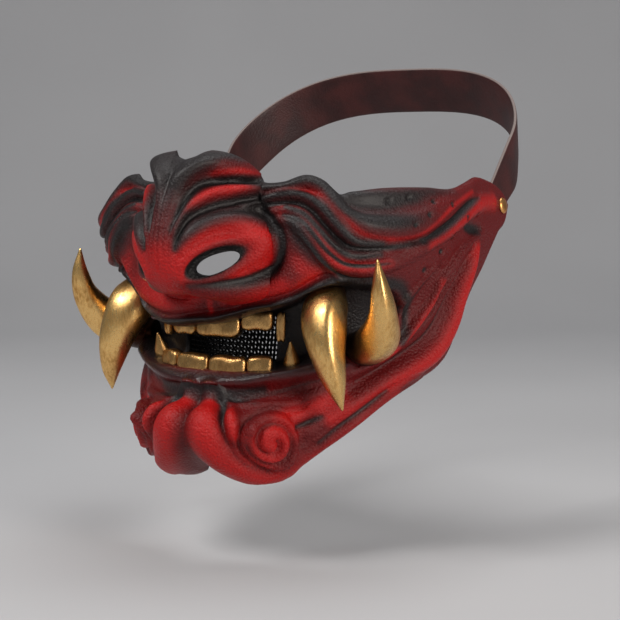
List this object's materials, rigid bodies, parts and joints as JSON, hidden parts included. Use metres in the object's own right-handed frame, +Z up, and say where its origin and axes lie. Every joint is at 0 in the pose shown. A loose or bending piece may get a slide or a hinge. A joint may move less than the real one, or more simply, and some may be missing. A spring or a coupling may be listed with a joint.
{
  "type": "samurai face guard",
  "caption": "Half mask in the form of a snarling demon's lower face, with four curved tusks, teeth over a breathing mesh, and a riveted leather head strap.",
  "frame": {"origin": "middle of the wearer's head between the two strap rivets, where the head sits", "axes": "+Z up, the face looks along -Y, +X to the wearer's left"},
  "size_m": [0.1782, 0.2343, 0.189],
  "materials": {
    "red_resin": "cast resin, satin red airbrushed black in the creases",
    "tusk_gold": "brushed antique gold paint with brown shading",
    "tooth_gold": "dark antique gold paint",
    "black_wire": "black satin wire mesh",
    "strap_leather": "dark dyed leather with a paler cut edge",
    "rivet_brass": "polished brass"
  },
  "bodies": {
    "root": {"face_shell": "red_resin", "upper_tusk_left": "tusk_gold", "upper_tusk_right": "tusk_gold", "lower_tusk_left": "tusk_gold", "lower_tusk_right": "tusk_gold", "upper_tooth_middle": "tooth_gold", "upper_tooth_left": "tooth_gold", "upper_tooth_right": "tooth_gold", "upper_peg_left": "tooth_gold", "upper_peg_right": "tooth_gold", "lower_tooth_inner_left": "tooth_gold", "lower_tooth_inner_right": "tooth_gold", "lower_tooth_outer_left": "tooth_gold", "lower_tooth_outer_right": "tooth_gold", "lower_fang_left": "tooth_gold", "lower_fang_right": "tooth_gold", "mouth_mesh": "black_wire", "head_strap": "strap_leather", "rivet_left": "rivet_brass", "rivet_right": "rivet_brass"}
  },
  "joints": []
}
